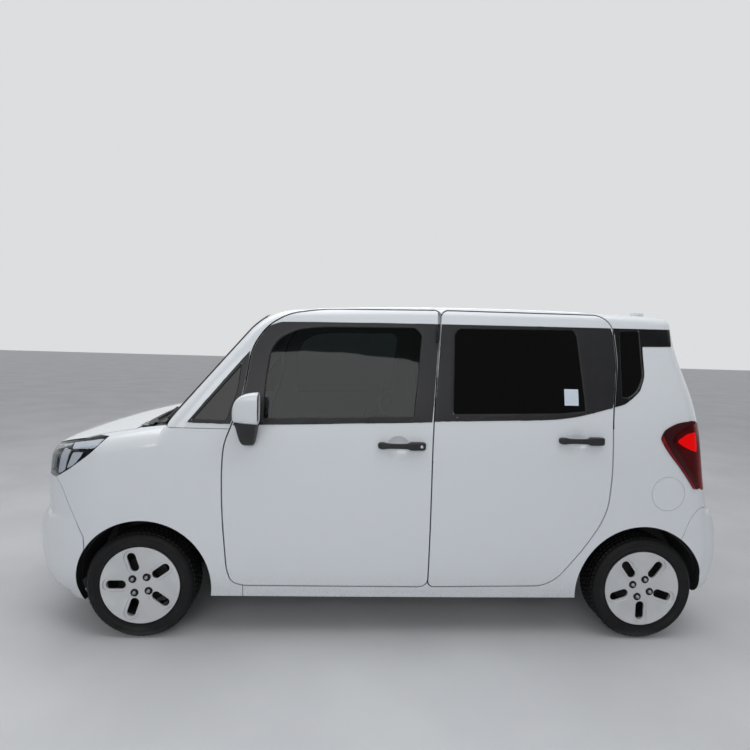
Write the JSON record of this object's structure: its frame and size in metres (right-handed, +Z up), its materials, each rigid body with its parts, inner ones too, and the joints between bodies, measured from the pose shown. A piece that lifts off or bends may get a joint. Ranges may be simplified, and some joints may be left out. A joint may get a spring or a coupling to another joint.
{
  "type": "city car",
  "caption": "Tall city car rolling on pressed wheels, with steering, hinged doors, bonnet and tailgate.",
  "frame": {"origin": "on the ground, below the middle of the car's length and width", "axes": "+X toward the nose, +Y to the car's left side, +Z up"},
  "size_m": [3.5945, 1.81, 1.6997],
  "materials": {
    "paint": "gloss white",
    "inner_paint": "satin",
    "glass_clear": "tinted",
    "glass_dark": "dark tint",
    "lamp": "clear lens",
    "lamp_red": "gloss",
    "black_plastic": "satin",
    "tyre": "matt",
    "wheel": "satin silver",
    "steel": "matt",
    "cloth": "woven",
    "trim": "grained"
  },
  "bodies": {
    "body": {"side_frames": "paint", "fenders": "paint", "roof": "paint", "cowl": "black_plastic", "headlamps": "lamp", "front_bumper": "paint", "lower_grille": "black_plastic", "rear_bumper": "paint", "tail_lamps": "lamp_red", "side_glass": "glass_dark", "windscreen": "glass_clear", "floor": "inner_paint", "arch_liners": "black_plastic", "dashboard": "trim", "steering_wheel": "trim", "front_seats": "cloth", "rear_bench": "cloth", "engine": "steel", "front_subframe": "steel", "rear_axle": "steel", "exhaust": "steel", "fuel_tank": "black_plastic"},
    "bonnet": {"bonnet": "paint"},
    "tailgate": {"tailgate": "paint", "tailgate_glass": "glass_dark"},
    "front_door_left": {"front_door_left": "paint", "front_glass_left": "glass_clear", "mirror_left": "paint"},
    "front_door_right": {"front_door_right": "paint", "front_glass_right": "glass_clear", "mirror_right": "paint"},
    "rear_door_left": {"rear_door_left": "paint", "rear_glass_left": "glass_dark"},
    "rear_door_right": {"rear_door_right": "paint", "rear_glass_right": "glass_dark"},
    "knuckle_left": {"knuckle_left": "steel"},
    "knuckle_right": {"knuckle_right": "steel"},
    "front_left": {"front_left_tyre": "tyre", "front_left_wheel": "wheel"},
    "front_right": {"front_right_tyre": "tyre", "front_right_wheel": "wheel"},
    "rear_left": {"rear_left_tyre": "tyre", "rear_left_wheel": "wheel"},
    "rear_right": {"rear_right_tyre": "tyre", "rear_right_wheel": "wheel"}
  },
  "joints": [
    {"name": "steer_left", "type": "hinge", "parent": "body", "child": "knuckle_left", "pos_m": [1.1575, 0.675, 0.15], "axis": [0, -0.2221, 0.975], "range_deg": [-33, 33]},
    {"name": "steer_right", "type": "hinge", "parent": "body", "child": "knuckle_right", "pos_m": [1.1575, -0.675, 0.15], "axis": [0, 0.2221, 0.975], "range_deg": [-33, 33]},
    {"name": "spin_front_left", "type": "hinge", "parent": "knuckle_left", "child": "front_left", "pos_m": [1.1575, 0.703, 0.263], "axis": [0, 1, 0], "continuous": true},
    {"name": "spin_front_right", "type": "hinge", "parent": "knuckle_right", "child": "front_right", "pos_m": [1.1575, -0.703, 0.263], "axis": [0, 1, 0], "continuous": true},
    {"name": "spin_rear_left", "type": "hinge", "parent": "body", "child": "rear_left", "pos_m": [-1.3625, 0.703, 0.263], "axis": [0, 1, 0], "continuous": true},
    {"name": "spin_rear_right", "type": "hinge", "parent": "body", "child": "rear_right", "pos_m": [-1.3625, -0.703, 0.263], "axis": [0, 1, 0], "continuous": true},
    {"name": "front_door_left_hinge", "type": "hinge", "parent": "body", "child": "front_door_left", "pos_m": [0.733, 0.78, 0.7], "axis": [0, 0, -1], "range_deg": [0, 65]},
    {"name": "front_door_right_hinge", "type": "hinge", "parent": "body", "child": "front_door_right", "pos_m": [0.733, -0.78, 0.7], "axis": [0, 0, 1], "range_deg": [0, 65]},
    {"name": "rear_door_left_hinge", "type": "hinge", "parent": "body", "child": "rear_door_left", "pos_m": [-0.278, 0.784, 0.7], "axis": [0, 0, -1], "range_deg": [0, 70]},
    {"name": "rear_door_right_hinge", "type": "hinge", "parent": "body", "child": "rear_door_right", "pos_m": [-0.278, -0.784, 0.7], "axis": [0, 0, 1], "range_deg": [0, 70]},
    {"name": "bonnet_hinge", "type": "hinge", "parent": "body", "child": "bonnet", "pos_m": [1.2015, 0, 1.019], "axis": [0, -1, 0], "range_deg": [0, 50]},
    {"name": "tailgate_hinge", "type": "hinge", "parent": "body", "child": "tailgate", "pos_m": [-1.47, 0, 1.684], "axis": [0, 1, 0], "range_deg": [0, 75]}
  ],
  "couplings": [
    {"joint": "steer_right", "follows": "steer_left", "ratio": 1}
  ]
}
